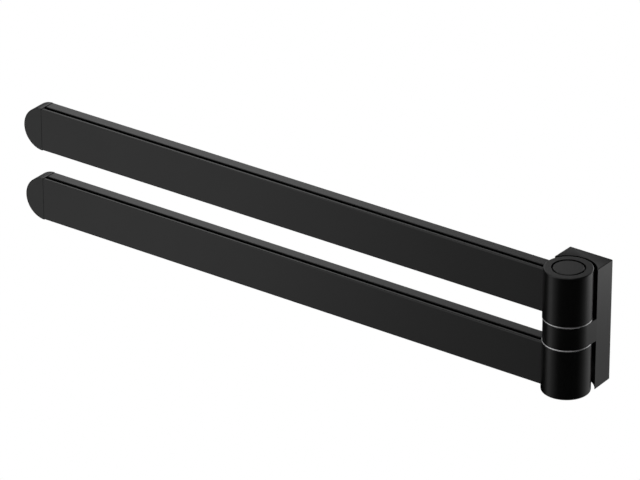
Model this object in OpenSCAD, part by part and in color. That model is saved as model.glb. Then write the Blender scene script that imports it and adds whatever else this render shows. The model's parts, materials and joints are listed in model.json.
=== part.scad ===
// Swing arm towel bar: two arms that turn on one upright pin in front of a wall bracket.
// Millimetres, Z up. The wall is the plane Y = 0 and the object lies in front of it, towards -Y.
// The origin is the middle of the bracket's wall face, and the arms at rest point to -X.

/* [Bracket] */
// Width of the bracket block
block_w = 30.2; // [28:0.2:34]
// Diameter of the lug that carries the pin
lug_d = 29.4; // [27:0.2:30]
// Distance from the wall to the hinge axis
axis_out = 24.8; // [24:0.1:32]
// Height of the lug between the two hubs
lug_h = 14.6; // [10:0.2:20]
// How far each hub stands past the end of the block
end_step = 0.6; // [0:0.1:2]
// Gap between a hub and the hollow of the block
hub_gap = 2; // [1.6:0.1:3.2]
// Width of the flat left along the front edges of the block
front_land = 0.2; // [0.1:0.1:0.8]
// Chamfer on the outer edges of the block
block_chamfer = 0.4; // [0.2:0.1:0.8]

/* [Hubs] */
// Diameter of each hub
hub_d = 30; // [28:0.5:34]
// Height of each hub
hub_h = 32.2; // [30:0.2:40]
// Chamfer on the round edges of a hub
hub_chamfer = 0.5; // [0.2:0.1:0.8]
// Diameter of the well in the outer end of a hub
well_d = 20.9; // [20.6:0.1:23]
// Depth of that well
well_depth = 11.6; // [11.4:0.1:13]
// Chamfer on the mouth of the well
well_chamfer = 0.2; // [0.1:0.1:0.4]

/* [Pivot] */
// Diameter of the hinge pin
pin_d = 10; // [8:0.5:11]
// Thickness of the bright thrust washers
thrust_t = 0.8; // [0.5:0.1:1.5]
// Wall of a flanged bush
bush_wall = 1; // [0.8:0.1:1.5]
// Length of a bush without its flange
bush_len = 9; // [6:0.5:9.5]
// Diameter of a bush's flange
bush_flange_d = 17; // [15.5:0.5:18]
// Thickness of a bush's flange
bush_flange_t = 1; // [0.6:0.1:1.5]
// Outer diameter of a disc spring
spring_d = 20; // [18:0.2:20.2]
// Sheet thickness of a disc spring
spring_t = 0.8; // [0.5:0.1:1]
// Rise of a disc spring's cone as pressed
spring_rise = 0.3; // [0.1:0.05:0.4]
// Diameter of the cover washer
cover_d = 19; // [16:0.5:20]
// Thickness of the cover washer
cover_t = 1.5; // [1:0.1:2]
// Thread diameter of the screws in the ends of the pin
pin_screw_d = 6; // [4:0.5:6]
// Length of those screws under the head
pin_screw_len = 14; // [10:1:18]
// Depth of the flat that is milled in the pin for its set screw
pin_flat = 0.5; // [0.3:0.1:1]
// Thread diameter of the set screw that locks the pin
lock_screw_d = 5; // [4:0.5:6]
// Length of that set screw
lock_screw_len = 8; // [6:1:10]

/* [Hub cap] */
// Diameter of the cap's disc
cap_d = 18.5; // [18:0.1:20]
// Thickness of the cap's disc
cap_t = 2.8; // [2.6:0.1:3.2]
// How far the disc lies below the end of the hub
cap_recess = 0.1; // [0:0.1:0.4]
// Depth of the fine groove round the disc
cap_groove = 2.2; // [1.6:0.1:2.4]
// Length of the skirt that grips the well
cap_skirt = 4; // [3:0.1:4.2]
// Wall of the skirt
cap_wall = 1.4; // [1:0.1:1.6]
// Chamfer on the edge of the disc
cap_chamfer = 0.4; // [0.2:0.1:0.6]

/* [Arms] */
// Distance from the hinge axis to the seam of the end cap
arm_reach = 389; // [250:1:600]
// Height of an arm
arm_h = 28.4; // [24:0.2:30]
// Distance from the hinge axis to the back face of an arm
arm_back = 4.8; // [4:0.1:5.6]
// Thickness of an arm over the front strip
arm_t = 12; // [11:0.1:12.6]
// Thickness of the hollow profile behind the groove
rear_t = 7.1; // [6.5:0.1:7.6]
// Width of the groove along the top and bottom of an arm
groove_w = 2.9; // [2.2:0.1:3.4]
// Rear wall of the profile, which takes the screw heads
back_wall = 1.9; // [1.7:0.1:2.1]
// Other walls of the profile
side_wall = 1.2; // [0.8:0.1:1.4]
// Chamfer along the edges of an arm
arm_chamfer = 0.3; // [0.1:0.1:0.5]

/* [Front strip joint] */
// Height of the spine that carries the front strip
spine_h = 16; // [14:0.5:20]
// Height of the dovetail slot at its mouth
tail_h = 9.2; // [7:0.2:10]
// How much the slot widens on each side towards its floor
tail_flare = 1.2; // [0.6:0.1:1.6]
// Material left under the slot's floor, in front of the hollow's wall
tail_floor = 0.6; // [0.2:0.1:0.8]

/* [Arm ends] */
// Length of the end cap beyond the seam
tip_len = 14; // [12:0.1:14.4]
// How far the end cap stands proud of the arm above and below
tip_proud = 0.3; // [0.1:0.1:0.6]
// How far the end cap stands proud of the arm's front and back
tip_side = 0.15; // [0.05:0.05:0.3]
// Chamfer round the end cap
tip_chamfer = 0.5; // [0.2:0.1:0.8]
// Length of the plug that holds the end cap in the profile
plug_len = 12; // [8:1:20]
// Length of the hub's tenon in the profile
tenon_len = 24; // [18:1:30]
// Lead-in chamfer on the tips of plug and tenon
lead_in = 1; // [0.5:0.1:1.2]
// Thread diameter of the screws through the profile into the tenon
arm_screw_d = 3; // [2.5:0.5:4]
// Head diameter of those screws
arm_screw_head = 5.6; // [5:0.1:7]
// Distance between the two screws of an arm
arm_screw_pitch = 11; // [8:1:14]

/* [Wall plate] */
// Width of the wall plate
plate_w = 22; // [18:0.5:24]
// Height of the wall plate at its wall face
plate_h = 62; // [56:1:66]
// Thickness of the wall plate
plate_t = 4; // [3.5:0.1:4.2]
// How far the slanted ends of the plate lean out towards the front
plate_lean = 1.4; // [1:0.1:2]
// Distance between the two wall screw holes
plate_hole_pitch = 42; // [36:1:44]
// Diameter of the wall screw holes
plate_hole_d = 5.2; // [4.2:0.1:6]
// Diameter of their countersinks
plate_sink_d = 9.8; // [8.5:0.1:11]
// Free depth between the plate and the floor of its pocket
pocket_spare = 0.5; // [0.3:0.1:0.7]
// Spare room under the plate when the block is hung on it
hang_room = 0.6; // [0.4:0.1:1.5]
// Thread diameter of the set screw under the block
plate_screw_d = 3; // [2:0.5:3]
// How far that screw's foot lies inside the block
plate_screw_recess = 0.4; // [0.2:0.1:1]

/* [Fits] */
// Radial running clearance between pin and bush
run_gap = 0.04; // [0.02:0.01:0.08]
// End play of a hub between its thrust washer and its springs
end_play = 0.05; // [0.03:0.01:0.1]
// Clearance round pieces that are pressed or screwed in
seat_gap = 0.02; // [0.01:0.01:0.04]
// Clearance round pieces that slide in
slide_gap = 0.05; // [0.03:0.01:0.1]

/* [Hidden] */
$fn = 96;
coat = "#2b2b2d";
steel = "#c9cbcf";
polymer = "#e4e1d8";
// overlap that lets a cut or a union pass a face
eps = 1;

block_r = block_w / 2;
lug_r = lug_d / 2;
hub_r = hub_d / 2;
pin_r = pin_d / 2;
well_r = well_d / 2;
hollow_r = hub_r + hub_gap;
block_front = axis_out - sqrt(hollow_r * hollow_r - (block_r - front_land) * (block_r - front_land));

// Heights along the pivot, from the middle of the lug outwards
z_lug = lug_h / 2;
z_hub = z_lug + thrust_t + end_play;
z_end = z_hub + hub_h;
z_well = z_end - well_depth;
z_spring = z_well + bush_flange_t + end_play;
spring_h = 2 * (spring_t + spring_rise) + seat_gap;
z_pin = z_spring + spring_h;
z_cover = z_pin + cover_t;
z_arm = z_hub + hub_h / 2;
block_h = 2 * (z_end - end_step);

bush_r = pin_r + bush_wall;
bush_bore = pin_r + run_gap;
flange_r = bush_flange_d / 2;
pin_screw_r = pin_screw_d / 2;
pin_head_d = 1.75 * pin_screw_d;
pin_head_h = 0.5 * pin_screw_d;
pin_tap_depth = pin_screw_len - cover_t + 3;
lock_r = lock_screw_d / 2;

// Hub cap, along the pivot
z_cap_top = z_end - cap_recess;
z_cap_step = z_end - cap_groove;
z_skirt = z_cap_step - cap_skirt;
skirt_r = well_r - seat_gap;

// Arm section: y values run from the arm's back face towards its front
back_y = -axis_out + arm_back;
hollow_y0 = back_y - back_wall;
hollow_y1 = back_y - rear_t + side_wall;
groove_y0 = back_y - rear_t;
strip_y = groove_y0 - groove_w;
front_y = back_y - arm_t;
tail_y = groove_y0 - tail_floor;
tail_slope = tail_flare / (tail_y - strip_y);
cope_r = hub_r + slide_gap;

tip_r = arm_h / 2 + tip_proud;
tip_x = -(arm_reach + tip_len - tip_r);
tip_back = back_y + tip_side;
tip_front = front_y - tip_side;

tenon_root = (well_r + hub_r) / 2;
tenon_y0 = hollow_y0 - slide_gap;
tenon_y1 = hollow_y1 + slide_gap;
tenon_h = arm_h - 2 * (side_wall + slide_gap);
arm_screw_x = [for (k = [-0.5, 0.5]) -(hub_r + tenon_len / 2) + k * arm_screw_pitch];
arm_screw_r = arm_screw_d / 2;
arm_head_r = arm_screw_head / 2;
arm_head_h = arm_head_r - arm_screw_r;
arm_screw_len = back_y - tenon_y1 - slide_gap;

pocket_y = plate_t + pocket_spare;
pocket_w = plate_w + 6 * slide_gap;
// the block goes on with its top edge first, which takes twice the lean below
pocket_foot = -plate_h / 2 - 2 * plate_lean - hang_room;
plate_screw_r = plate_screw_d / 2;
plate_screw_y = pocket_y - plate_screw_r - 2 * slide_gap;
plate_screw_top = -plate_h / 2 - plate_lean - slide_gap;
plate_screw_len = block_h / 2 + plate_screw_top - plate_screw_recess;

// A body turned about the hinge axis, from [radius, height] points
module turned(points) {
    translate([0, -axis_out, 0])
        rotate_extrude()
            polygon(points);
}

// A bar along X with a [y, z] section
module along_x(points, x0, x1) {
    translate([x0, 0, 0])
        rotate([90, 0, 90])
            linear_extrude(height = x1 - x0)
                polygon(points);
}

// A screw or hole along Y at x and z, that starts at y and runs towards the wall
module along_y(x, y, z) {
    translate([x, y, z])
        rotate([-90, 0, 0])
            children();
}

// Corners of a rectangle with all four corners cut
function cut_corners(x0, y0, x1, y1, c) = [
    [x0 + c, y0], [x1 - c, y0], [x1, y0 + c], [x1, y1 - c],
    [x1 - c, y1], [x0 + c, y1], [x0, y1 - c], [x0, y0 + c]
];

// Hexagon socket of a screw, as wide across flats as given
module hex_socket(flats, depth) {
    cylinder(h = depth, d = flats / cos(30), $fn = 6);
}

// Headless screw that stands on z = 0, with its socket in the foot
module set_screw(r, len) {
    difference() {
        rotate_extrude()
            polygon([
                [0, 0], [r * 0.8, 0], [r, r * 0.2], [r, len - r * 0.3], [r * 0.7, len], [0, len]
            ]);
        translate([0, 0, -eps])
            hex_socket(r, len * 0.4 + eps);
    }
}

module block_blank() {
    plan = cut_corners(-block_r, -block_front, block_r, 0, block_chamfer);
    intersection() {
        union() {
            // the front edges stay sharp where the hollows cut them
            translate([-block_r, -block_front, -block_h / 2])
                cube([block_w, block_front / 2, block_h]);
            translate([0, 0, -block_h / 2])
                linear_extrude(height = block_h)
                    polygon(plan);
        }
        along_x(
            cut_corners(-block_front - eps, -block_h / 2, 0, block_h / 2, block_chamfer),
            -block_r, block_r
        );
    }
}

module lug_blank() {
    translate([0, 0, -z_lug])
        linear_extrude(height = lug_h)
            union() {
                translate([0, -axis_out])
                    circle(r = lug_r);
                polygon([
                    [-lug_r, -axis_out], [lug_r, -axis_out], [block_r, -block_front],
                    [block_r, -pocket_y], [-block_r, -pocket_y], [-block_r, -block_front]
                ]);
            }
}

module bracket_block() {
    color(coat)
    difference() {
        union() {
            difference() {
                block_blank();
                for (s = [-1, 1])
                    translate([0, -axis_out, s * (z_lug + block_h) / 2 - (block_h - z_lug) / 2])
                        cylinder(h = block_h - z_lug, r = hollow_r);
            }
            lug_blank();
        }
        // pocket for the wall plate, undercut at its top
        along_x([
            [eps, pocket_foot],
            [-pocket_y, pocket_foot],
            [-pocket_y, plate_edge(pocket_y) + slide_gap],
            [eps, plate_edge(-eps) + slide_gap]
        ], -pocket_w / 2, pocket_w / 2);
        // bore for the pin
        translate([0, -axis_out, -z_lug - eps])
            cylinder(h = lug_h + 2 * eps, r = pin_r + seat_gap);
        // threaded hole of the pin's set screw
        along_y(0, -axis_out, 0)
            cylinder(h = axis_out, r = lock_r + seat_gap);
        // threaded hole of the set screw under the block
        translate([0, -plate_screw_y, -block_h / 2 - eps])
            cylinder(h = block_h / 2 + pocket_foot + 2 * eps, r = plate_screw_r + seat_gap);
    }
}

// Height of the plate's slanted end at a distance from the wall
function plate_edge(y) = plate_h / 2 + plate_lean * y / plate_t;

module wall_plate() {
    sink_h = (plate_sink_d - plate_hole_d) / 2;
    color(steel)
    difference() {
        along_x([
            [0, -plate_edge(0)], [-plate_t, -plate_edge(plate_t)],
            [-plate_t, plate_edge(plate_t)], [0, plate_edge(0)]
        ], -plate_w / 2, plate_w / 2);
        for (s = [-1, 1]) {
            along_y(0, -plate_t - eps, s * plate_hole_pitch / 2)
                cylinder(h = plate_t + 2 * eps, d = plate_hole_d);
            along_y(0, -plate_t, s * plate_hole_pitch / 2)
                cylinder(h = sink_h, d1 = plate_sink_d, d2 = plate_hole_d);
        }
    }
}

module plate_set_screw() {
    color(steel)
    translate([0, -plate_screw_y, plate_screw_top - plate_screw_len])
        set_screw(plate_screw_r, plate_screw_len);
}

module hinge_pin() {
    color(steel)
    difference() {
        turned([
            [0, -z_pin], [pin_r - 0.5, -z_pin], [pin_r, -z_pin + 0.5],
            [pin_r, z_pin - 0.5], [pin_r - 0.5, z_pin], [0, z_pin]
        ]);
        for (s = [-1, 1])
            translate([0, -axis_out, s * (z_pin - pin_tap_depth / 2 + eps / 2)])
                cylinder(h = pin_tap_depth + eps, r = pin_screw_r + seat_gap, center = true);
        // flat for the set screw
        translate([-pin_r, -axis_out + pin_r - pin_flat, -lock_screw_d * 0.7])
            cube([pin_d, pin_r, lock_screw_d * 1.4]);
    }
}

module pin_set_screw() {
    seat = -axis_out + pin_r - pin_flat + seat_gap;
    color(steel)
    translate([0, seat + lock_screw_len, 0])
        rotate([90, 0, 0])
            set_screw(lock_r, lock_screw_len);
}

module upper_thrust_washer() {
    color(steel)
    turned([
        [pin_r + slide_gap, z_lug], [hub_r, z_lug], [hub_r, z_lug + thrust_t],
        [pin_r + slide_gap, z_lug + thrust_t]
    ]);
}

// Two disc springs, back to back round the pin
module upper_disc_springs() {
    r0 = pin_r + 2 * slide_gap;
    r1 = spring_d / 2;
    z1 = z_spring + spring_t + spring_rise + seat_gap;
    color(steel) {
        turned([
            [r0, z_spring], [r1, z_spring + spring_rise],
            [r1, z_spring + spring_rise + spring_t], [r0, z_spring + spring_t]
        ]);
        turned([
            [r0, z1 + spring_rise], [r1, z1], [r1, z1 + spring_t],
            [r0, z1 + spring_rise + spring_t]
        ]);
    }
}

module upper_cover_washer() {
    r = cover_d / 2;
    color(steel)
    turned([
        [pin_screw_r + slide_gap, z_pin], [r, z_pin], [r, z_cover - 0.3], [r - 0.3, z_cover],
        [pin_screw_r + slide_gap, z_cover]
    ]);
}

// Button head screw in the end of the pin
module upper_pin_screw() {
    r = pin_head_d / 2;
    color(steel)
    difference() {
        turned([
            [0, z_cover - pin_screw_len], [pin_screw_r - 0.6, z_cover - pin_screw_len],
            [pin_screw_r, z_cover - pin_screw_len + 0.6], [pin_screw_r, z_cover], [r, z_cover],
            [r, z_cover + pin_head_h * 0.2], [r * 0.93, z_cover + pin_head_h * 0.55],
            [r * 0.78, z_cover + pin_head_h * 0.82], [r * 0.55, z_cover + pin_head_h],
            [0, z_cover + pin_head_h]
        ]);
        translate([0, -axis_out, z_cover + pin_head_h * 0.3])
            hex_socket(pin_screw_d * 2 / 3, pin_head_h);
    }
}

module upper_hub() {
    z_flange = z_hub + bush_flange_t;
    color(coat)
    difference() {
        union() {
            turned([
                [flange_r + seat_gap, z_hub], [hub_r - hub_chamfer, z_hub],
                [hub_r, z_hub + hub_chamfer], [hub_r, z_end - hub_chamfer],
                [hub_r - hub_chamfer, z_end], [well_r + well_chamfer, z_end],
                [well_r, z_end - well_chamfer], [well_r, z_well], [bush_r, z_well],
                [bush_r, z_flange], [flange_r + seat_gap, z_flange]
            ]);
            tongue(-tenon_root, -(hub_r + tenon_len));
        }
        for (x = arm_screw_x)
            along_y(x, tenon_y1 - eps, z_arm)
                cylinder(h = tenon_y0 - tenon_y1 + 2 * eps, r = arm_screw_r + seat_gap);
    }
}

// Flat tongue in the hollow of the profile, with a lead-in at its free end x1
module tongue(x0, x1) {
    c = min(lead_in, (tenon_y0 - tenon_y1) / 3) * sign(x1 - x0);
    translate([0, 0, z_arm - tenon_h / 2])
        linear_extrude(height = tenon_h)
            polygon([
                [x0, tenon_y0], [x0, tenon_y1], [x1 - c, tenon_y1],
                [x1, tenon_y1 + abs(c)], [x1, tenon_y0 - abs(c)], [x1 - c, tenon_y0]
            ]);
}

// Flanged bush: its flange lies at z_face, and its barrel runs away from it, up or down
module bush(z_face, up) {
    r = bush_r - seat_gap;
    z1 = z_face + up * bush_flange_t;
    z2 = z1 + up * bush_len;
    color(polymer)
    turned([
        [bush_bore, z_face], [flange_r, z_face], [flange_r, z1], [r, z1],
        [r, z2 - up * 0.4], [r - 0.4, z2], [bush_bore, z2]
    ]);
}

module upper_inner_bush() {
    bush(z_hub, 1);
}

module upper_outer_bush() {
    bush(z_well + bush_flange_t, -1);
}

module upper_arm_profile() {
    z0 = z_arm - arm_h / 2;
    z1 = z_arm + arm_h / 2;
    t = tail_h / 2;
    color(coat)
    difference() {
        union() {
            along_x([
                [groove_y0, z0], [back_y - arm_chamfer, z0], [back_y, z0 + arm_chamfer],
                [back_y, z1 - arm_chamfer], [back_y - arm_chamfer, z1], [groove_y0, z1]
            ], -arm_reach, 0);
            along_x([
                [groove_y0 + side_wall / 2, z_arm - spine_h / 2], [strip_y, z_arm - spine_h / 2],
                [strip_y, z_arm + spine_h / 2], [groove_y0 + side_wall / 2, z_arm + spine_h / 2]
            ], -arm_reach, 0);
        }
        // the hollow
        translate([-arm_reach - eps, hollow_y1, z0 + side_wall])
            cube([arm_reach + 2 * eps, hollow_y0 - hollow_y1, arm_h - 2 * side_wall]);
        // dovetail slot for the front strip
        along_x([
            [tail_y, z_arm - t - tail_flare], [tail_y, z_arm + t + tail_flare],
            [strip_y - eps, z_arm + t - tail_slope * eps],
            [strip_y - eps, z_arm - t + tail_slope * eps]
        ], -arm_reach - eps, eps);
        cope();
        for (x = arm_screw_x) {
            along_y(x, hollow_y0 - eps, z_arm)
                cylinder(h = back_wall + 2 * eps, r = arm_screw_r + slide_gap);
            along_y(x, back_y - arm_head_h, z_arm)
                cylinder(h = arm_head_h, r1 = arm_screw_r + slide_gap, r2 = arm_head_r + slide_gap);
        }
    }
}

// Round cut that lets the end of an arm meet the hub
module cope() {
    translate([0, -axis_out, z_arm - arm_h])
        cylinder(h = 2 * arm_h, r = cope_r);
    translate([0, -axis_out - arm_t, z_arm - arm_h])
        cube([cope_r + eps, 2 * arm_t, 2 * arm_h]);
}

module upper_front_strip() {
    z0 = z_arm - arm_h / 2;
    z1 = z_arm + arm_h / 2;
    t = tail_h / 2 - slide_gap;
    y = tail_y - slide_gap;
    f = tail_slope * (y - strip_y);
    color(coat)
    difference() {
        along_x([
            [strip_y, z_arm - t], [y, z_arm - t - f], [y, z_arm + t + f], [strip_y, z_arm + t],
            [strip_y, z1], [front_y + arm_chamfer, z1], [front_y, z1 - arm_chamfer],
            [front_y, z0 + arm_chamfer], [front_y + arm_chamfer, z0], [strip_y, z0]
        ], -arm_reach, 0);
        cope();
    }
}

module upper_end_cap() {
    color(coat)
    union() {
        intersection() {
            translate([tip_x, 0, z_arm])
                rotate([90, 0, 0])
                    rotate_extrude()
                        polygon([
                            [0, -tip_back], [tip_r - tip_chamfer, -tip_back],
                            [tip_r, -tip_back + tip_chamfer], [tip_r, -tip_front - tip_chamfer],
                            [tip_r - tip_chamfer, -tip_front], [0, -tip_front]
                        ]);
            translate([-arm_reach - 2 * tip_r, tip_front - eps, z_arm - 2 * tip_r])
                cube([2 * tip_r, arm_t + 2 * tip_side + 2 * eps, 4 * tip_r]);
        }
        tongue(-arm_reach - tip_len / 3, -arm_reach + plug_len);
    }
}

// Two countersunk screws, flush with the back of the arm
module upper_arm_screws() {
    color(steel)
    for (x = arm_screw_x)
        along_y(x, back_y - arm_screw_len, z_arm)
            difference() {
                rotate_extrude()
                    polygon([
                        [0, 0], [arm_screw_r, 0], [arm_screw_r, arm_screw_len - arm_head_h],
                        [arm_head_r - slide_gap, arm_screw_len - slide_gap],
                        [0, arm_screw_len - slide_gap]
                    ]);
                translate([0, 0, arm_screw_len - arm_head_h])
                    hex_socket(arm_screw_d * 2 / 3, arm_head_h + eps);
            }
}

// Pressed-in cap: a chamfered disc on a skirt that grips the well
module upper_hub_cap() {
    r = cap_d / 2;
    color(coat)
    turned([
        [0, z_cap_top - cap_t], [skirt_r - cap_wall, z_cap_top - cap_t],
        [skirt_r - cap_wall, z_skirt], [skirt_r - 0.3, z_skirt], [skirt_r, z_skirt + 0.3],
        [skirt_r, z_cap_step], [r, z_cap_step], [r, z_cap_top - cap_chamfer],
        [r - cap_chamfer, z_cap_top], [0, z_cap_top]
    ]);
}

// The lower arm and its pivot are the upper ones, mirrored in the plane z = 0
module lower_thrust_washer() {
    mirror([0, 0, 1]) upper_thrust_washer();
}

module lower_disc_springs() {
    mirror([0, 0, 1]) upper_disc_springs();
}

module lower_cover_washer() {
    mirror([0, 0, 1]) upper_cover_washer();
}

module lower_pin_screw() {
    mirror([0, 0, 1]) upper_pin_screw();
}

module lower_hub() {
    mirror([0, 0, 1]) upper_hub();
}

module lower_inner_bush() {
    mirror([0, 0, 1]) upper_inner_bush();
}

module lower_outer_bush() {
    mirror([0, 0, 1]) upper_outer_bush();
}

module lower_arm_profile() {
    mirror([0, 0, 1]) upper_arm_profile();
}

module lower_front_strip() {
    mirror([0, 0, 1]) upper_front_strip();
}

module lower_end_cap() {
    mirror([0, 0, 1]) upper_end_cap();
}

module lower_arm_screws() {
    mirror([0, 0, 1]) upper_arm_screws();
}

module lower_hub_cap() {
    mirror([0, 0, 1]) upper_hub_cap();
}

wall_plate();
bracket_block();
plate_set_screw();
hinge_pin();
pin_set_screw();
upper_thrust_washer();
lower_thrust_washer();
upper_disc_springs();
lower_disc_springs();
upper_cover_washer();
lower_cover_washer();
upper_pin_screw();
lower_pin_screw();
upper_hub();
upper_inner_bush();
upper_outer_bush();
upper_arm_profile();
upper_front_strip();
upper_end_cap();
upper_arm_screws();
upper_hub_cap();
lower_hub();
lower_inner_bush();
lower_outer_bush();
lower_arm_profile();
lower_front_strip();
lower_end_cap();
lower_arm_screws();
lower_hub_cap();
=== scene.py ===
"""Swing arm towel bar: coated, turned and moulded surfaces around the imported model.

Metres, Z up, the wall is the plane Y = 0. The hinge pin stands at X = 0 and the arms rest along -X.
Shapes are worked out in millimetres and scaled when they become meshes.
"""
import json
import math

import bmesh
import bpy
import numpy as np
from mathutils import Matrix, Vector
from mathutils.geometry import tessellate_polygon


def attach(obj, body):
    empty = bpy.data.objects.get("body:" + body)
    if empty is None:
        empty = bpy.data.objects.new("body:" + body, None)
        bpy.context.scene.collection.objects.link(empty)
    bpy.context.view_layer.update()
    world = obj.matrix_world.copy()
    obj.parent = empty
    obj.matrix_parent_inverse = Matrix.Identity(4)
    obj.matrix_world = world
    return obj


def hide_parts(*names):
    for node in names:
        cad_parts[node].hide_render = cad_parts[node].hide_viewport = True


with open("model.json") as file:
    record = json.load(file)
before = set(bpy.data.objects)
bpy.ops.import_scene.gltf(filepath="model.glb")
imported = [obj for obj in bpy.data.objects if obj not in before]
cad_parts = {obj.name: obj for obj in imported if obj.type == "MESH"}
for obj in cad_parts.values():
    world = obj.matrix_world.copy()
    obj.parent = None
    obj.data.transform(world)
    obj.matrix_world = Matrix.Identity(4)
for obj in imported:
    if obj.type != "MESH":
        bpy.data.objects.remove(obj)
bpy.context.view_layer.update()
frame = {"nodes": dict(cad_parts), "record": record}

MM = 0.001
TURN = 2.0 * math.pi
QUARTER = math.pi / 2.0

# ---- View of the photograph: lengths in metres, but the lens in millimetres

VIEW_AZIMUTH = math.radians(35.69)
VIEW_ELEVATION = math.radians(26.72)
VIEW_DISTANCE = 2.9564
VIEW_LENS = 282.16
# Where the middle of the view passes the hinge pin: left of it and above it
VIEW_LEFT = 0.14564
VIEW_UP = 0.05208

# ---- Sizes of the bar in millimetres, as in the model

PIN_Y = -24.8
PIN_BORE_R = 5.02
HUB_R = 15.0
Z_LUG = 7.3
THRUST_T = 0.8
THRUST_BORE_R = 5.05
Z_HUB = 8.15
Z_END = 40.35
WELL_R = 10.45
Z_WELL = 28.75
BUSH_R = 6.0
FLANGE_R = 8.52
FLANGE_T = 1.0
Z_ARM = 24.25

CAP_R = 9.25
CAP_T = 2.8
CAP_RECESS = 0.1
CAP_GROOVE = 2.2
CAP_SKIRT = 4.0
CAP_WALL = 1.4
SKIRT_R = 10.43

BLOCK_R = 15.1
BLOCK_TOP = 39.75
HOLLOW_R = 17.0
LUG_R = 14.7
PLATE_SCREW_R = 1.52
PLATE_SCREW_Y = -2.9
LOCK_HOLE_R = 2.52
LOCK_HOLE_END = -19.7
POCKET_X = 11.15
POCKET_Y = -4.5
POCKET_FOOT = -34.4
POCKET_MOUTH_TOP = 31.05
POCKET_FLOOR_TOP = 32.625

SEAM_X = -389.0
ARM_H = 28.4
BACK_Y = -20.0
GROOVE_Y = -27.1
STRIP_Y = -30.0
FRONT_Y = -32.0
BACK_WALL = 1.9
SIDE_WALL = 1.2
SPINE_H = 16.0
TAIL_H = 9.2
TAIL_FLARE = 1.2
TAIL_Y = -27.7
TAIL_GAP = 0.05
COPE_R = 15.05
TENON_ROOT = -12.7
TENON_END = -39.0
SCREW_X = (-32.5, -21.5)
SCREW_HEAD_R = 2.85
SCREW_BODY_R = 1.55
SCREW_HOLE_DEPTH = 1.85
TONGUE_TAPER = 1.0

TIP_R = 14.5
TIP_CENTRE_X = -388.5
TIP_SIDE = 0.15
PLUG_ROOT = -393.0
PLUG_END = -377.0

# ---- Radii of the rounded edges in millimetres

RIM_ROUND = 0.7
WELL_ROUND = 0.12
FOOT_ROUND = 0.35
CAP_ROUND = 0.4
WASHER_ROUND = 0.36
ARM_ROUND = 0.35
STRIP_ROUND = 0.8
INNER_ROUND = 0.2
TIP_ROUND = 0.6
BLOCK_FRONT_ROUND = 0.15
BLOCK_BACK_ROUND = 0.8
BLOCK_TOP_ROUND = 0.6
HOLLOW_ROUND = 0.12
SEAM_EASE = 0.15
# Edges that lie inside or are too thin for more
TINY_ROUND = 0.1
# Near the block's thin front edges the rounding is the distance from them, less the start, times
# the share
EDGE_START = 0.4
EDGE_SHARE = 0.18

# ---- Fineness of the meshes, in millimetres where it is a length

# A holding point lies this far outside a rounding, so that the flat beside it shades flat
HOLD = 0.06
# The long sections of arm and strip get a point at every pitch
PITCH = 1.0
# Points closer than this are one point, in an outline and in the finished piece
SAME_OUTLINE_POINT = 1e-5
SAME_PIECE_POINT = 1e-4
SHARP_ANGLE = math.radians(40.0)

ARC_STEPS = 5
HUB_SEGMENTS = 160
CAP_SEGMENTS = 128
BORE_SEGMENTS = 64
HOLE_SEGMENTS = 40
TIP_ANGLES = 97
HOLLOW_ANGLES = 73
LUG_ANGLES = 81


# ---- Outlines, as complex numbers: real part across, imaginary part up

def corner_arcs(corners, into, out, radii):
    """Rounded corners, one row each.

    The arc starts one tangent length before the corner, which is the radius times the tangent of
    half the turn. Its centre lies one radius to the inner side, and the start is turned about it
    through the whole turn in equal steps. A holding point is put before and after the arc.
    """
    turn = np.angle(out / into)
    reach = radii * np.tan(abs(turn) / 2.0)
    start = corners - into * reach
    centre = start + 1j * np.sign(turn) * into * radii
    share = np.linspace(0.0, 1.0, ARC_STEPS + 1)
    arc = centre[:, None] + (start - centre)[:, None] * np.exp(1j * turn[:, None] * share)
    before = (start - into * HOLD)[:, None]
    after = (corners + out * (reach + HOLD))[:, None]
    return np.concatenate([before, arc, after], axis=1)


def soft_outline(corners, radii):
    """Closed outline through the corners, each rounded with its radius between its two sides."""
    corners = np.asarray(corners, dtype=complex)
    radii = np.broadcast_to(np.asarray(radii, dtype=float), corners.shape)
    into = corners - np.roll(corners, 1)
    out = np.roll(corners, -1) - corners
    return corner_arcs(corners, into / abs(into), out / abs(out), radii).ravel()


def spaced(outline, pitch):
    """Closed outline with extra points at every pitch of its length, between the given ones."""
    ring = np.append(outline, outline[0])
    along = np.concatenate([[0.0], np.cumsum(abs(np.diff(ring)))])
    marks = np.union1d(along[:-1], np.arange(0.0, along[-1], pitch))
    return np.interp(marks, along, ring.real) + 1j * np.interp(marks, along, ring.imag)


def outward(outline):
    """Unit normals of a closed anticlockwise outline: the chord of the neighbours, turned clockwise."""
    chord = np.roll(outline, -1) - np.roll(outline, 1)
    return -1j * chord / abs(chord)


def circle(radius, count=HOLE_SEGMENTS):
    """Points of a circle about zero, at equal angles."""
    return radius * np.exp(1j * np.arange(count) * TURN / count)


# ---- Surfaces

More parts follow.
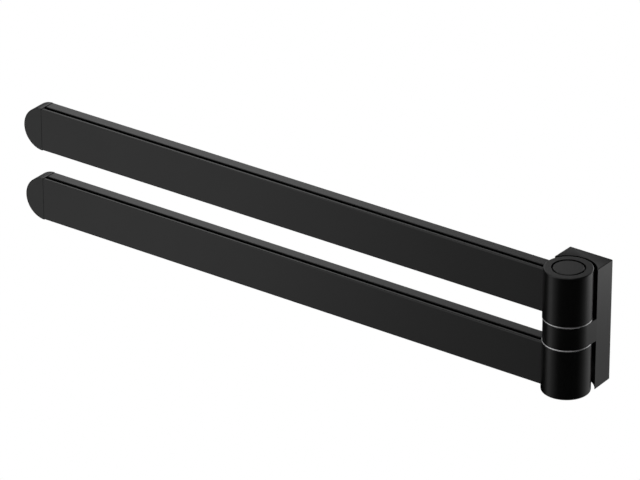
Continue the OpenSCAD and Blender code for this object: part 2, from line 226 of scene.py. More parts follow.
class Skin:
    """Patches of one piece, in millimetres, that are joined where their points meet."""

    def __init__(self):
        self.points = []
        self.faces = []
        self.count = 0

    def add(self, points, faces):
        """Points, and faces as rows of their numbers, added to the piece."""
        self.points.append(points.reshape(-1, 3))
        self.faces.extend((np.asarray(faces) + self.count).tolist())
        self.count += self.points[-1].shape[0]

    def grid(self, points, wrap_rows=False, wrap_columns=False):
        """Quads between neighbouring rows and columns of an array of points."""
        rows, columns = points.shape[:2]
        row = np.arange(rows if wrap_rows else rows - 1)[:, None]
        column = np.arange(columns if wrap_columns else columns - 1)[None, :]
        next_row, next_column = (row + 1) % rows, (column + 1) % columns
        quads = np.stack([
            row * columns + column,
            row * columns + next_column,
            next_row * columns + next_column,
            next_row * columns + column,
        ], axis=-1)
        self.add(points, quads.reshape(-1, 4))

    def flat(self, *loops):
        """Flat face inside the first loop of points and outside the others, cut into triangles."""
        steps = [np.linalg.norm(loop - np.roll(loop, 1, axis=0), axis=1) for loop in loops]
        clean = [loop[step > SAME_OUTLINE_POINT] for loop, step in zip(loops, steps)]
        self.add(np.concatenate(clean), tessellate_polygon([loop.tolist() for loop in clean]))

    def piece(self, name, finish, body, slot, *replaced):
        """Mesh object with its doubles merged, its faces turned outwards and its sharp edges marked."""
        mesh = bpy.data.meshes.new(name)
        mesh.from_pydata((np.concatenate(self.points) * MM).tolist(), [], self.faces)
        shell = bmesh.new()
        shell.from_mesh(mesh)
        bmesh.ops.remove_doubles(shell, verts=shell.verts, dist=SAME_PIECE_POINT * MM)
        bmesh.ops.dissolve_degenerate(shell, edges=shell.edges, dist=SAME_PIECE_POINT * MM)
        bmesh.ops.recalc_face_normals(shell, faces=shell.faces)
        shell.to_mesh(mesh)
        shell.free()
        mesh.shade_smooth()
        mesh.set_sharp_from_angle(angle=SHARP_ANGLE)
        mesh.materials.append(finish)
        thing = bpy.data.objects.new(name, mesh)
        bpy.context.scene.collection.objects.link(thing)
        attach(thing, body)
        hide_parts(*replaced)


def points_at(x, y, z):
    """Points with these coordinates, each an array or a single number for all of them."""
    return np.stack(np.broadcast_arrays(x, y, z), axis=-1)


def section_at(outline, x):
    """Points of a section across the arm, real part y and imaginary part z, at the places x."""
    return points_at(x, outline.real, outline.imag)


def plan_at(outline, z):
    """Points of a plan outline, real part x and imaginary part y, at the heights z."""
    return points_at(outline.real, outline.imag, z)


def wall_at(outline, y):
    """Points of an outline parallel to the wall, real part x and imaginary part z, at the depth y."""
    return points_at(outline.real, y, outline.imag)


def turned(profile, side, segments=HUB_SEGMENTS):
    """Profile, real part radius and imaginary part height, turned about the hinge pin.

    Each point goes round the pin at equal angles: x is the radius times the cosine, y is the pin's
    y plus the radius times the sine, and z is the height times the side, 1 above and -1 below.
    """
    ring = circle(1.0, segments)[:, None] * profile.real
    return points_at(ring.real, ring.imag + PIN_Y, profile.imag * side)


def hollow_outline(side, gap):
    """Outline of an arm's hollow, made smaller by a gap all round: a rectangle with rounded corners."""
    mid, half = side * Z_ARM, ARM_H / 2.0 - SIDE_WALL - gap
    y0, y1 = GROOVE_Y + SIDE_WALL + gap, BACK_Y - BACK_WALL - gap
    return soft_outline([
        complex(y0, mid - half), complex(y1, mid - half), complex(y1, mid + half), complex(y0, mid + half),
    ], INNER_ROUND)


def add_tongue(skin, x_root, x_tip, side):
    """Flat tongue in the hollow of an arm: its outline carried along, and drawn in at the tip."""
    outline = hollow_outline(side, TAIL_GAP)
    taper = math.copysign(TONGUE_TAPER, x_tip - x_root)
    rows = section_at(
        np.stack([outline, outline, outline - outward(outline) * TONGUE_TAPER]),
        np.array([x_root, x_tip - taper, x_tip])[:, None],
    )
    skin.grid(rows, wrap_columns=True)
    skin.flat(rows[0])
    skin.flat(rows[-1])


def make_hub(prefix, side, finish):
    """Hub: its wall profile turned about the pin, and the tenon that runs into the arm."""
    skin = Skin()
    profile = soft_outline([
        complex(FLANGE_R, Z_HUB), complex(HUB_R, Z_HUB), complex(HUB_R, Z_END), complex(WELL_R, Z_END),
        complex(WELL_R, Z_WELL), complex(BUSH_R, Z_WELL), complex(BUSH_R, Z_HUB + FLANGE_T),
        complex(FLANGE_R, Z_HUB + FLANGE_T),
    ], [
        TINY_ROUND, FOOT_ROUND, RIM_ROUND, WELL_ROUND, INNER_ROUND, TINY_ROUND, TINY_ROUND, TINY_ROUND,
    ])
    skin.grid(turned(profile, side), wrap_rows=True, wrap_columns=True)
    add_tongue(skin, TENON_ROOT, TENON_END, side)
    skin.piece(prefix + "_hub_shell", finish, prefix + "_arm", "black_coat", prefix + "_hub")


def make_hub_cap(prefix, side, finish):
    """Hub cap: a disc with a rounded edge on a thin skirt, turned about the pin."""
    top = Z_END - CAP_RECESS
    step = Z_END - CAP_GROOVE
    profile = soft_outline([
        complex(0.0, top - CAP_T), complex(SKIRT_R - CAP_WALL, top - CAP_T),
        complex(SKIRT_R - CAP_WALL, step - CAP_SKIRT), complex(SKIRT_R, step - CAP_SKIRT),
        complex(SKIRT_R, step), complex(CAP_R, step), complex(CAP_R, top), complex(0.0, top),
    ], [0.0, INNER_ROUND, INNER_ROUND, INNER_ROUND, TINY_ROUND, TINY_ROUND, CAP_ROUND, 0.0])
    profile = np.maximum(profile.real, 0.0) + 1j * profile.imag
    skin = Skin()
    skin.grid(turned(profile, side, CAP_SEGMENTS), wrap_rows=True, wrap_columns=True)
    skin.piece(prefix + "_hub_cap_disc", finish, prefix + "_arm", "black_coat", prefix + "_hub_cap")


def make_thrust_washer(prefix, side, finish):
    """Thrust washer: a flat ring whose outer edge is turned to a round."""
    profile = soft_outline([
        complex(THRUST_BORE_R, Z_LUG), complex(HUB_R, Z_LUG), complex(HUB_R, Z_LUG + THRUST_T),
        complex(THRUST_BORE_R, Z_LUG + THRUST_T),
    ], [TINY_ROUND, WASHER_ROUND, WASHER_ROUND, TINY_ROUND])
    skin = Skin()
    skin.grid(turned(profile, side), wrap_rows=True, wrap_columns=True)
    skin.piece(prefix + "_thrust_ring", finish, "bracket", "bright_steel", prefix + "_thrust_washer")


def cope_x(y):
    """Place along the arm where it meets the round of the hub: the circle about the pin, on its -X side."""
    return -np.sqrt(COPE_R ** 2 - (y - PIN_Y) ** 2)


def add_coped_end(skin, *outlines):
    """End at the hub: a flat face of the section, its points then moved along the arm to the cope."""
    end = Skin()
    end.flat(*[section_at(outline, 0.0) for outline in outlines])
    points = np.concatenate(end.points)
    points[:, 0] = cope_x(points[:, 1])
    skin.add(points, end.faces)


def arm_outline(side):
    """Section of the arm profile: the bar, its spine, and the dovetail slot in the spine."""
    mid, half = side * Z_ARM, ARM_H / 2.0
    spine, mouth = SPINE_H / 2.0, TAIL_H / 2.0
    floor = mouth + TAIL_FLARE
    return spaced(soft_outline([
        complex(BACK_Y, mid - half), complex(BACK_Y, mid + half),
        complex(GROOVE_Y, mid + half), complex(GROOVE_Y, mid + spine),
        complex(STRIP_Y, mid + spine), complex(STRIP_Y, mid + mouth),
        complex(TAIL_Y, mid + floor), complex(TAIL_Y, mid - floor),
        complex(STRIP_Y, mid - mouth), complex(STRIP_Y, mid - spine),
        complex(GROOVE_Y, mid - spine), complex(GROOVE_Y, mid - half),
    ], [
        ARM_ROUND, ARM_ROUND, ARM_ROUND, INNER_ROUND, INNER_ROUND, TINY_ROUND,
        TINY_ROUND, TINY_ROUND, TINY_ROUND, INNER_ROUND, INNER_ROUND, ARM_ROUND,
    ]), PITCH)


def back_circle(x, side, radius, depth):
    """Circle parallel to the arm's back face, at a place along the arm and a depth below the face."""
    return wall_at(x + 1j * side * Z_ARM + circle(radius), BACK_Y - depth)


def make_arm_profile(prefix, side, finish):
    """Arm profile: its section carried from the seam of the end cap to the round of the hub.

    The section is drawn in by the ease at the seam itself. The back is a flat face of its own, with
    the countersunk holes of the two tenon screws in it, so the carried part is open there.
    """
    outline = arm_outline(side)
    hollow = spaced(hollow_outline(side, 0.0), PITCH)
    eased = outline - outward(outline) * SEAM_EASE
    seam_x = np.array([SEAM_X, SEAM_X + SEAM_EASE])[:, None]
    seam_rows = section_at(np.stack([eased, outline]), seam_x)
    skin = Skin()
    skin.grid(seam_rows, wrap_columns=True)

    flat_half = ARM_H / 2.0 - ARM_ROUND
    on_back = np.isclose(outline.real, BACK_Y) & (abs(outline.imag - side * Z_ARM) < flat_half)
    back = outline[on_back]
    back = back[np.argsort(back.imag)]
    top = int(np.argmax(np.where(on_back, outline.imag, -np.inf)))
    carried = np.roll(outline, -top)[: len(outline) - len(back) + 2]
    skin.grid(np.stack([
        section_at(carried, SEAM_X + SEAM_EASE), section_at(carried, cope_x(carried.real)),
    ]))

    holes = [np.stack([
        back_circle(place, side, SCREW_HEAD_R, 0.0),
        back_circle(place, side, SCREW_BODY_R, SCREW_HEAD_R - SCREW_BODY_R),
        back_circle(place, side, SCREW_BODY_R, SCREW_HOLE_DEPTH),
    ]) for place in SCREW_X]
    far, near = section_at(back, SEAM_X + SEAM_EASE), section_at(back, cope_x(back.real))
    skin.flat(np.concatenate([far, near[::-1]]), *[hole[0] for hole in holes])
    for hole in holes:
        skin.grid(hole, wrap_columns=True)
        skin.flat(hole[-1])

    inner = np.stack([section_at(hollow, SEAM_X), section_at(hollow, cope_x(hollow.real))])
    skin.grid(inner, wrap_columns=True)
    skin.flat(seam_rows[0], inner[0])
    add_coped_end(skin, outline, hollow)
    skin.piece(
        prefix + "_arm_bar", finish, prefix + "_arm", "black_extrusion", prefix + "_arm_profile"
    )


def make_front_strip(prefix, side, finish):
    """Front strip: a flat plate with its dovetail, carried from the seam to the round of the hub."""
    mid, half, mouth = side * Z_ARM, ARM_H / 2.0, TAIL_H / 2.0 - TAIL_GAP
    tail_y = TAIL_Y - TAIL_GAP
    floor = mouth + TAIL_FLARE * (tail_y - STRIP_Y) / (TAIL_Y - STRIP_Y)
    outline = spaced(soft_outline([
        complex(STRIP_Y, mid - half), complex(STRIP_Y, mid - mouth), complex(tail_y, mid - floor),
        complex(tail_y, mid + floor), complex(STRIP_Y, mid + mouth), complex(STRIP_Y, mid + half),
        complex(FRONT_Y, mid + half), complex(FRONT_Y, mid - half),
    ], [
        INNER_ROUND, TINY_ROUND, TINY_ROUND, TINY_ROUND, TINY_ROUND, INNER_ROUND, STRIP_ROUND, STRIP_ROUND,
    ]), PITCH)
    eased = outline - outward(outline) * SEAM_EASE
    rows = np.stack([
        section_at(eased, SEAM_X), section_at(outline, SEAM_X + SEAM_EASE),
        section_at(outline, cope_x(outline.real)),
    ])
    skin = Skin()
    skin.grid(rows, wrap_columns=True)
    skin.flat(rows[0])
    add_coped_end(skin, outline)
    skin.piece(
        prefix + "_front_plate", finish, prefix + "_arm", "black_extrusion", prefix + "_front_strip"
    )


def make_end_cap(prefix, side, finish):
    """End cap: the same loop of points for each angle round the half-round end.

    A loop runs from the seam across the front face to the rim, over the rounded rim, and back
    across the rear face to the seam. At radius r the end reaches the seam where the cosine of the
    angle from -X is the distance between centre and seam over r, so the loop's points share that
    range of angles and close flush with the seam. Along the seam all edges are drawn in by the ease.
    """
    front, rear = FRONT_Y - TIP_SIDE, BACK_Y + TIP_SIDE
    lean = np.linspace(0.0, QUARTER, ARC_STEPS + 1)
    rise, fall = TIP_ROUND * (1.0 - np.cos(lean)), TIP_ROUND * (1.0 - np.sin(lean))
    radius = np.concatenate([
        [TIP_R - TIP_ROUND - HOLD], TIP_R - fall, TIP_R - rise, [TIP_R - TIP_ROUND - HOLD],
    ])
    depth = np.concatenate([[front], front + rise, rear - fall, [rear]])
    angle = np.linspace(-1.0, 1.0, TIP_ANGLES)[:, None] * np.arccos((TIP_CENTRE_X - SEAM_X) / radius)
    x = np.minimum(TIP_CENTRE_X - radius * np.cos(angle), SEAM_X - SEAM_EASE)
    rim = points_at(x, depth, side * Z_ARM + radius * np.sin(angle))
    seam_z = rim[:, :1, 2]
    loops = np.concatenate([
        points_at(SEAM_X, front + SEAM_EASE, seam_z), points_at(SEAM_X - SEAM_EASE, front, seam_z),
        rim,
        points_at(SEAM_X - SEAM_EASE, rear, seam_z), points_at(SEAM_X, rear - SEAM_EASE, seam_z),
    ], axis=1)
    ends = loops[[0, -1]]
    inward = ends.mean(axis=1, keepdims=True) - ends
    inward[..., 0] = 0.0
    inward[..., 1] = (front + rear) / 2.0 - ends[..., 1]
    drawn_in = ends + inward / np.linalg.norm(inward, axis=-1, keepdims=True) * SEAM_EASE
    drawn_in[..., 0] = SEAM_X
    ends = np.concatenate([ends[:, :1], drawn_in[:, 1:-1], ends[:, -1:]], axis=1)
    skin = Skin()
    skin.grid(np.concatenate([ends[:1], loops, ends[1:]]), wrap_columns=True)
    skin.flat(ends[0])
    skin.flat(ends[1])
    add_tongue(skin, PLUG_ROOT, PLUG_END, side)
    skin.piece(prefix + "_arm_tip", finish, prefix + "_arm", "black_coat", prefix + "_end_cap")


def make_bracket_block(finish):
    """Bracket block: plan outlines carried up the pin's axis, closed by flat faces with holes.

    Above and below the lug the plan is a rectangle cut by the circle of the hollow, with a sharp
    front edge at each side. Between them it runs on to the round of the lug. The back is a flat
    face of its own, with the pocket for the wall plate in it, so the walls are open there.
    """
    pin = 1j * PIN_Y
    edge_y = PIN_Y + math.sqrt(HOLLOW_R ** 2 - BLOCK_R ** 2)
    edge_angle = math.atan2(edge_y - PIN_Y, BLOCK_R)
    right_edge, left_edge = complex(BLOCK_R, edge_y), complex(-BLOCK_R, edge_y)
    fillets = corner_arcs(
        np.array([right_edge, complex(BLOCK_R, 0.0), complex(-BLOCK_R, 0.0), left_edge]),
        np.array([-1j * np.exp(1j * edge_angle), 1j, -1.0, -1j]),
        np.array([1j, -1.0, -1j, -1j * np.exp(1j * (math.pi - edge_angle))]),
        np.array([BLOCK_FRONT_ROUND, BLOCK_BACK_ROUND, BLOCK_BACK_ROUND, BLOCK_FRONT_ROUND]),
    )
    skip = abs(fillets[3, -1] - left_edge) / HOLLOW_R
    sweep = np.linspace(math.pi - edge_angle - skip, edge_angle + skip, HOLLOW_ANGLES)
    sides = np.concatenate([fillets[0, -1:], fillets[1], fillets[2], fillets[3, :1]])
    hollow = np.concatenate([fillets[3, 1:-1], pin + HOLLOW_R * np.exp(1j * sweep), fillets[0, 1:-1]])
    nose = np.concatenate([
        [left_edge], pin + LUG_R * np.exp(1j * np.linspace(math.pi, TURN, LUG_ANGLES)), [right_edge],
    ])
    # The open walls start behind the flat back, at the first point of the left rear fillet
    opening = 1 + len(fillets[1])

    skin = Skin()
    lug = np.roll(np.concatenate([sides, nose]), -opening)
    skin.grid(np.stack([plan_at(lug, -Z_LUG), plan_at(lug, Z_LUG)]))
    bore = pin + circle(PIN_BORE_R, BORE_SEGMENTS)
    skin.grid(np.stack([plan_at(bore, -Z_LUG), plan_at(bore, Z_LUG)]), wrap_columns=True)

    ledge = np.concatenate([hollow, [sides[0]], nose[::-1], [sides[-1]]])
    wing = np.concatenate([sides, hollow])
    clear = np.minimum(abs(wing - right_edge), abs(wing - left_edge))
    limit = np.repeat([BLOCK_TOP_ROUND, HOLLOW_ROUND], [len(sides), len(hollow)])
    rounding = np.clip(EDGE_SHARE * (clear - EDGE_START), TINY_ROUND, limit)
    lean = np.linspace(0.0, QUARTER, ARC_STEPS + 1)[:, None]
    inset = wing - outward(wing) * rounding * (1.0 - np.cos(lean))
    wall = np.roll(wing, -opening)
    wall_top = BLOCK_TOP - HOLD - np.roll(rounding, -opening)
    driver = 1j * PLATE_SCREW_Y + circle(PLATE_SCREW_R)
    for side in (-1.0, 1.0):
        skin.flat(plan_at(ledge, side * Z_LUG), plan_at(bore, side * Z_LUG))
        skin.grid(np.stack([plan_at(wall, side * Z_LUG), plan_at(wall, side * wall_top)]))
        skin.grid(np.stack([
            plan_at(wing, side * (BLOCK_TOP - HOLD - rounding)),
            plan_at(wing, side * (BLOCK_TOP - rounding)),
        ]), wrap_columns=True)
        rows = plan_at(inset, side * (BLOCK_TOP - rounding * (1.0 - np.sin(lean))))
        skin.grid(rows, wrap_columns=True)
        holes = [plan_at(driver, side * BLOCK_TOP)] if side < 0.0 else []
        skin.flat(rows[-1], *holes)
    skin.grid(np.stack([plan_at(driver, -BLOCK_TOP), plan_at(driver, POCKET_FOOT)]), wrap_columns=True)

    half = fillets[1, -1].real
    shoulder = BLOCK_TOP - HOLD - BLOCK_TOP_ROUND
    levels = np.array([-shoulder, -Z_LUG, Z_LUG, shoulder])
    back = np.concatenate([half + 1j * levels, -half + 1j * levels[::-1]])
    mouth = np.array([
        complex(-POCKET_X, POCKET_FOOT), complex(-POCKET_X, POCKET_MOUTH_TOP),
        complex(POCKET_X, POCKET_MOUTH_TOP), complex(POCKET_X, POCKET_FOOT),
    ])
    floor = mouth.real + 1j * np.where(mouth.imag > 0.0, POCKET_FLOOR_TOP, POCKET_FOOT)
    foot = np.array([complex(-POCKET_X, 0.0), complex(POCKET_X, 0.0),
                     complex(POCKET_X, POCKET_Y), complex(-POCKET_X, POCKET_Y)])
    lock = circle(LOCK_HOLE_R)
    skin.flat(wall_at(back, 0.0), wall_at(mouth, 0.0))
    skin.grid(np.stack([wall_at(mouth, 0.0), wall_at(floor, POCKET_Y)]))
    skin.flat(plan_at(foot, POCKET_FOOT), plan_at(driver, POCKET_FOOT))
    skin.flat(wall_at(floor, POCKET_Y), wall_at(lock, POCKET_Y))
    skin.grid(np.stack([wall_at(lock, POCKET_Y), wall_at(lock, LOCK_HOLE_END)]), wrap_columns=True)
    skin.flat(wall_at(lock, LOCK_HOLE_END))
    skin.piece("bracket_body", finish, "bracket", "black_coat", "bracket_block")


# ---- Camera and light

def add_camera():
    """Camera at the photograph's angle: it looks at a point left of and above the pin's middle."""
    right = Vector((math.cos(VIEW_AZIMUTH), math.sin(VIEW_AZIMUTH), 0.0))
    back = Vector((
        math.sin(VIEW_AZIMUTH) * math.cos(VIEW_ELEVATION),
        -math.cos(VIEW_AZIMUTH) * math.cos(VIEW_ELEVATION),
        math.sin(VIEW_ELEVATION),
    ))
    up = back.cross(right)
    aim = Vector((0.0, PIN_Y * MM, 0.0)) - right * VIEW_LEFT + up * VIEW_UP
    data = bpy.data.cameras.new("camera")
    data.sensor_width = 36.0
    data.lens = VIEW_LENS
    data.clip_end = 50.0
    camera = bpy.data.objects.new("camera", data)
    turn = Matrix((right, up, back)).transposed().to_4x4()
    camera.matrix_world = Matrix.Translation(aim + back * VIEW_DISTANCE) @ turn
    bpy.context.scene.collection.objects.link(camera)
    bpy.context.scene.camera = camera


def add_softbox(name, place, size, radiance, target):
    """Square area lamp that faces target; its face shines with the given radiance."""
    data = bpy.data.lights.new(name, "AREA")
    data.shape = "SQUARE"
    data.size = size
    data.energy = radiance * math.pi * size * size
    lamp = bpy.data.objects.new(name, data)
    away = Vector(place) - Vector(target)
    lamp.matrix_world = Matrix.Translation(place) @ away.to_track_quat("Z", "Y").to_matrix().to_4x4()
    lamp.visible_camera = False
    bpy.context.scene.collection.objects.link(lamp)


def math_node(nodes, links, operation, *operands):
    """Result of a math node; each operand is a socket or a plain number."""
    node = nodes.new("ShaderNodeMath")
    node.operation = operation
    for socket, operand in zip(node.inputs, operands):
        if isinstance(operand, (int, float)):
            socket.default_value = operand
        else:
            links.new(operand, socket)
    return node.outputs["Value"]


# Pale walls of the studio that gloss shows: azimuth and elevation, half width, all in degrees, level
STUDIO_WALLS = [
    (-160.0, 46.0, 50.0, 0.85),
    (-125.0, 12.0, 40.0, 0.82),
    (-110.0, 62.0, 45.0, 0.42),
    (-50.0, 48.0, 44.0, 0.16),
    (-129.0, -27.0, 30.0, 0.25),
    (45.0, -27.0, 45.0, 0.22),
    (70.0, -27.0, 45.0, 0.29),
    (100.0, 30.0, 45.0, 0.1),
    (0.0, 90.0, 28.0, 0.9),
    (60.0, 45.0, 45.0, 0.12),
    (90.0, 0.0, 36.0, 0.74),
    (95.0, -22.0, 30.0, 0.1),
    (95.0, 12.0, 28.0, 1.2),
]
# Level of the rest of the room to gloss, and of the even light that falls on matt surfaces
ROOM_LEVEL = 0.003
FILL_LEVEL = 0.8
# Floor: height, radius and tone
FLOOR_Z = -1.2
FLOOR_R = 0.75
FLOOR_TONE = 0.8
FLOOR_SEGMENTS = 96
# Softboxes: name, place, size, radiance, target
SOFTBOXES = [
    ("left_front", (-0.819, -0.609, -0.343), 0.45, 0.52, (-0.40, -0.032, 0.02)),
    ("left_back", (-0.824, 0.701, 0.484), 0.6, 0.59, (-0.30, -0.02, 0.03)),
    ("left_back_far", (-1.028, 0.845, 0.575), 0.45, 0.48, (-0.40, -0.02, 0.03)),
    ("left_low", (-0.698, 0.305, -0.07), 0.25, 0.3, (-0.40, -0.026, 0.0)),
    ("right_back", (0.248, 0.316, -0.016), 0.3, 0.8, (0.015, -0.005, 0.04)),
    ("front_panel", (-0.253, -0.651, -0.2), 1.05, 0.5, (-1.180, -0.276, -0.2)),
    ("back_panel", (0.265, 0.435, 0.28), 0.7, 0.9, (-0.605, 0.925, 0.28)),
]


def wall_lobe(nodes, links, azimuth, elevation, half_width):
    """Value that is 1 towards a direction and falls to 0 at half_width from it.

    It is the square of the cosine of the angle from that direction, set to run from 0 to 1.
    """
    azimuth, elevation = math.radians(azimuth), math.radians(elevation)
    coords = nodes.new("ShaderNodeTexCoord")
    dot = nodes.new("ShaderNodeVectorMath")
    dot.operation = "DOT_PRODUCT"
    dot.inputs[1].default_value = (
        math.cos(azimuth) * math.cos(elevation), math.sin(azimuth) * math.cos(elevation),
        math.sin(elevation),
    )
    links.new(coords.outputs["Generated"], dot.inputs[0])
    ramp = nodes.new("ShaderNodeMapRange")
    ramp.inputs["From Min"].default_value = math.cos(math.radians(half_width))
    links.new(dot.outputs["Value"], ramp.inputs["Value"])
    return math_node(nodes, links, "POWER", ramp.outputs["Result"], 2.0)


def build_world():
    """White to the camera, an even fill to matt surfaces, and the room with its pale walls to gloss."""
    world = bpy.data.worlds.new("studio")
    bpy.context.scene.world = world
    world.use_nodes = True
    nodes, links = world.node_tree.nodes, world.node_tree.links
    nodes.clear()
    path = nodes.new("ShaderNodeLightPath")
    room = ROOM_LEVEL
    for azimuth, elevation, half_width, level in STUDIO_WALLS:
        lobe = wall_lobe(nodes, links, azimuth, elevation, half_width)
        room = math_node(nodes, links, "MULTIPLY_ADD", lobe, level, room)
    gloss = math_node(
        nodes, links, "MAXIMUM", path.outputs["Is Glossy Ray"], path.outputs["Is Transmission Ray"]
    )
    fill = math_node(nodes, links, "MULTIPLY", path.outputs["Is Diffuse Ray"], FILL_LEVEL)
    strength = math_node(nodes, links, "MULTIPLY_ADD", gloss, room, fill)
    strength = math_node(nodes, links, "MAXIMUM", path.outputs["Is Camera Ray"], strength)
    background = nodes.new("ShaderNodeBackground")
    background.inputs["Color"].default_value = (1.0, 1.0, 1.0, 1.0)
    links.new(strength, background.inputs["Strength"])
    output = nodes.new("ShaderNodeOutputWorld")
    links.new(background.outputs["Background"], output.inputs["Surface"])


def add_floor():
    """Round pale floor below the bar: white to the camera but for the shadow that falls on it."""
    ring = circle(FLOOR_R, FLOOR_SEGMENTS)
    mesh = bpy.data.meshes.new("floor")
    mesh.from_pydata(plan_at(ring, FLOOR_Z).tolist(), [], [list(range(FLOOR_SEGMENTS))])
    material, nodes, links, shader = new_material("pale_floor")
    shader.inputs["Base Color"].default_value = (FLOOR_TONE, FLOOR_TONE, FLOOR_TONE, 1.0)
    shader.inputs["Roughness"].default_value = 1.0
    shader.inputs["Specular IOR Level"].default_value = 0.0
    shader.inputs["Emission Color"].default_value = (1.0, 1.0, 1.0, 1.0)
    path = nodes.new("ShaderNodeLightPath")
    # What the floor lacks of white: one less its tone times the fill
    lift = 1.0 - FLOOR_TONE * FILL_LEVEL
    links.new(math_node(nodes, links, "MULTIPLY", path.outputs["Is Camera Ray"], lift),
              shader.inputs["Emission Strength"])
    mesh.materials.append(material)
    floor = bpy.data.objects.new("floor", mesh)
    bpy.context.scene.collection.objects.link(floor)


# ---- Materials

def new_material(name):
    """Material with a Principled shader, and what is needed to build on it."""
    material = bpy.data.materials.new(name)
    material.use_nodes = True
    nodes = material.node_tree.nodes
    nodes.clear()
    shader = nodes.new("ShaderNodeBsdfPrincipled")
    output = nodes.new("ShaderNodeOutputMaterial")
    material.node_tree.links.new(shader.outputs["BSDF"], output.inputs["Surface"])
    return material, nodes, material.node_tree.links, shader


def new_group(name, outputs, **inputs):
    """Shader node group with a Vector input, number inputs with their usual values, and outputs.

    An underscore in an input's name stands for a space.
    """
    group = bpy.data.node_groups.new(name, "ShaderNodeTree")
    group.interface.new_socket("Vector", in_out="INPUT", socket_type="NodeSocketVector")
    for label, value in inputs.items():
        label = label.replace("_", " ")
        socket = group.interface.new_socket(label, in_out="INPUT", socket_type="NodeSocketFloat")
        socket.default_value = value
    for label in outputs:
        group.interface.new_socket(label, in_out="OUTPUT", socket_type="NodeSocketFloat")
    enter = group.nodes.new("NodeGroupInput")
    leave = group.nodes.new("NodeGroupOutput")
    return group, group.nodes, group.links, enter.outputs, leave.inputs


def noise(nodes, links, vector, scale, detail=2.0, roughness=0.5):
    """Noise value from 0 to 1; scale, in features per metre, is a socket or a plain number."""
    node = nodes.new("ShaderNodeTexNoise")
    node.inputs["Detail"].default_value = detail
    node.inputs["Roughness"].default_value = roughness
    links.new(vector, node.inputs["Vector"])
    if isinstance(scale, (int, float)):
        node.inputs["Scale"].default_value = scale
    else:
        links.new(scale, node.inputs["Scale"])
    return node.outputs["Fac"]


def stretched(nodes, links, vector, scale):
    """Vector multiplied by a plain factor on each axis."""
    node = nodes.new("ShaderNodeVectorMath")
    node.operation = "MULTIPLY"
    node.inputs[1].default_value = scale
    links.new(vector, node.inputs[0])
    return node.outputs["Vector"]


def make_powder_grain():
    """Powder coat: fine grain on a slow orange peel, and a cloudy tone in patches of about 20 mm.

    The height goes from the grain to the peel by the peel's share.
    """
    group, nodes, links, enter, leave = new_group(
        "powder_grain", ["Height", "Tone", "Grain"], Grain_Scale=2600.0, Peel_Scale=420.0, Peel_Share=0.6
    )
    grain = noise(nodes, links, enter["Vector"], enter["Grain Scale"], detail=1.0)
    peel = noise(nodes, links, enter["Vector"], enter["Peel Scale"], detail=0.0)
    cloud = noise(nodes, links, enter["Vector"], scale=45.0, detail=3.0, roughness=0.6)
    apart = math_node(nodes, links, "SUBTRACT", peel, grain)
    height = math_node(nodes, links, "MULTIPLY_ADD", apart, enter["Peel Share"], grain)
    links.new(height, leave["Height"])
    links.new(cloud, leave["Tone"])
    links.new(grain, leave["Grain"])
    return group


def make_drawn_lines():
    """Drawn metal: lines along X, far longer than wide, because X counts for little in the noise."""
    group, nodes, links, enter, leave = new_group("drawn_lines", ["Height"], Line_Scale=900.0)
    along = stretched(nodes, links, enter["Vector"], (0.015, 1.0, 1.0))
    lines = noise(nodes, links, along, enter["Line Scale"], detail=3.0, roughness=0.6)
    links.new(lines, leave["Height"])
    return group


def make_turned_rings():
    """Turned metal: tool marks that depend only on the distance from the pin's axis and on height."""
    group, nodes, links, enter, leave = new_group("turned_rings", ["Height", "Tone"], Mark_Scale=2400.0)
    flat = stretched(nodes, links, enter["Vector"], (1.0, 1.0, 0.0))
    distance = nodes.new("ShaderNodeVectorMath")
    distance.operation = "LENGTH"
    links.new(flat, distance.inputs[0])
    apart = nodes.new("ShaderNodeSeparateXYZ")
    links.new(enter["Vector"], apart.inputs["Vector"])
    mark = nodes.new("ShaderNodeCombineXYZ")
    links.new(distance.outputs["Value"], mark.inputs["X"])
    links.new(apart.outputs["Z"], mark.inputs["Z"])
    links.new(noise(nodes, links, mark.outputs["Vector"], enter["Mark Scale"]), leave["Height"])
    links.new(noise(nodes, links, mark.outputs["Vector"], scale=500.0, detail=1.0), leave["Tone"])
    return group


def make_plating_bloom():
    """Plated metal: faint crystals over a cloudy tone, both in the tone, and a fine height."""
    group, nodes, links, enter, leave = new_group("plating_bloom", ["Height", "Tone"], Crystal_Scale=700.0)
    crystals = nodes.new("ShaderNodeTexVoronoi")
    links.new(enter["Vector"], crystals.inputs["Vector"])
    links.new(enter["Crystal Scale"], crystals.inputs["Scale"])
    apart = nodes.new("ShaderNodeSeparateColor")
    links.new(crystals.outputs["Color"], apart.inputs["Color"])
    cloud = noise(nodes, links, enter["Vector"], scale=90.0, detail=3.0, roughness=0.6)
    crystal_share = 0.4
    tone = math_node(nodes, links, "MULTIPLY_ADD", apart.outputs["Red"], crystal_share, cloud)
    links.new(noise(nodes, links, enter["Vector"], scale=1900.0), leave["Height"])
    links.new(tone, leave["Tone"])
    return group


def place_group(nodes, links, group, centre=(0.0, 0.0, 0.0), **values):
    """Outputs of a group that reads Object coordinates, measured from a centre in metres.

    An underscore in the name of a value stands for a space.
    """
    coords = nodes.new("ShaderNodeTexCoord")
    shift = nodes.new("ShaderNodeMapping")
    shift.inputs["Location"].default_value = tuple(-part for part in centre)
    links.new(coords.outputs["Object"], shift.inputs["Vector"])
    node = nodes.new("ShaderNodeGroup")
    node.node_tree = group
    links.new(shift.outputs["Vector"], node.inputs["Vector"])
    for label, value in values.items():
        node.inputs[label.replace("_", " ")].default_value = value
    return node.outputs


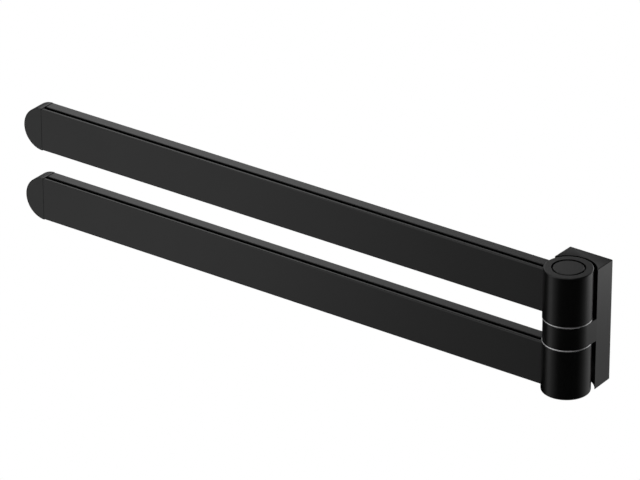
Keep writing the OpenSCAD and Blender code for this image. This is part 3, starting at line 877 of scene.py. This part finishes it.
def feed_colour(nodes, links, shader, mask, dark, light):
    """Base colour between dark where the mask is 0 and light where it is 1."""
    mix = nodes.new("ShaderNodeMix")
    mix.data_type = "RGBA"
    links.new(mask, mix.inputs["Factor"])
    mix.inputs["A"].default_value = (*dark, 1.0)
    mix.inputs["B"].default_value = (*light, 1.0)
    links.new(mix.outputs["Result"], shader.inputs["Base Color"])


def feed_roughness(nodes, links, shader, mask, low, high):
    """Roughness between low where the mask is 0 and high where it is 1."""
    spread = nodes.new("ShaderNodeMapRange")
    spread.inputs["To Min"].default_value = low
    spread.inputs["To Max"].default_value = high
    links.new(mask, spread.inputs["Value"])
    links.new(spread.outputs["Result"], shader.inputs["Roughness"])


def feed_bump(nodes, links, shader, height, depth, under=None):
    """Bump of a given depth in metres, laid over another bump where one is given."""
    bump = nodes.new("ShaderNodeBump")
    bump.inputs["Strength"].default_value = 1.0
    bump.inputs["Distance"].default_value = depth
    links.new(height, bump.inputs["Height"])
    if under is not None:
        links.new(under, bump.inputs["Normal"])
    links.new(bump.outputs["Normal"], shader.inputs["Normal"])
    return bump.outputs["Normal"]


def make_coat(name, grain, lines=None):
    """Satin black coat; on drawn metal the lines of the metal below still show faintly."""
    material, nodes, links, shader = new_material(name)
    powder = place_group(nodes, links, grain)
    feed_colour(
        nodes, links, shader, powder["Tone"], dark=(0.0006, 0.0006, 0.0006), light=(0.0015, 0.0015, 0.0015)
    )
    feed_roughness(nodes, links, shader, powder["Tone"], low=0.29, high=0.35)
    bump = feed_bump(nodes, links, shader, powder["Height"], depth=0.000004)
    if lines is not None:
        drawn = place_group(nodes, links, lines)
        feed_bump(nodes, links, shader, drawn["Height"], depth=0.0000015, under=bump)
    return material


def make_metal(name, texture, dark, light, low, high, depth):
    """Bare or plated metal whose colour, roughness and bump follow one texture about the pin's axis."""
    material, nodes, links, shader = new_material(name)
    shader.inputs["Metallic"].default_value = 1.0
    marks = place_group(nodes, links, texture, centre=(0.0, PIN_Y * MM, 0.0))
    feed_colour(nodes, links, shader, marks["Tone"], dark, light)
    feed_roughness(nodes, links, shader, marks["Tone"], low, high)
    feed_bump(nodes, links, shader, marks["Height"], depth)
    return material


def make_acetal(name, grain):
    """Moulded acetal: off-white, a little cloudy, with a faint glow below its skin."""
    material, nodes, links, shader = new_material(name)
    skin = place_group(nodes, links, grain, Grain_Scale=1500.0, Peel_Scale=300.0, Peel_Share=0.4)
    shader.inputs["Subsurface Weight"].default_value = 0.15
    shader.inputs["Subsurface Scale"].default_value = 0.002
    feed_colour(nodes, links, shader, skin["Tone"], dark=(0.70, 0.68, 0.62), light=(0.82, 0.80, 0.75))
    feed_roughness(nodes, links, shader, skin["Grain"], low=0.40, high=0.52)
    feed_bump(nodes, links, shader, skin["Height"], depth=0.000006)
    return material


add_camera()
build_world()
add_floor()
for softbox in SOFTBOXES:
    add_softbox(*softbox)
bpy.context.scene.view_settings.view_transform = "Standard"

powder_grain = make_powder_grain()
coat = make_coat("satin_black_coat", powder_grain)
extrusion = make_coat("satin_black_extrusion", powder_grain, make_drawn_lines())
steel = make_metal(
    "turned_steel", make_turned_rings(), dark=(0.74, 0.74, 0.75), light=(0.88, 0.88, 0.89),
    low=0.36, high=0.46, depth=0.000004,
)
zinc = make_metal(
    "zinc_plate", make_plating_bloom(), dark=(0.50, 0.52, 0.55), light=(0.70, 0.70, 0.71),
    low=0.30, high=0.44, depth=0.000003,
)
FINISH = {
    "black_coat": coat,
    "black_extrusion": extrusion,
    "bright_steel": steel,
    "plated_steel": zinc,
    "bush_polymer": make_acetal("acetal", powder_grain),
}
for part in frame["record"]["subparts"]:
    node = frame["nodes"][part["node"]]
    node.data.materials.clear()
    node.data.materials.append(FINISH[part["material_slot"]])

make_bracket_block(coat)
for prefix, side in (("upper", 1.0), ("lower", -1.0)):
    make_hub(prefix, side, coat)
    make_hub_cap(prefix, side, coat)
    make_thrust_washer(prefix, side, steel)
    make_arm_profile(prefix, side, extrusion)
    make_front_strip(prefix, side, extrusion)
    make_end_cap(prefix, side, coat)
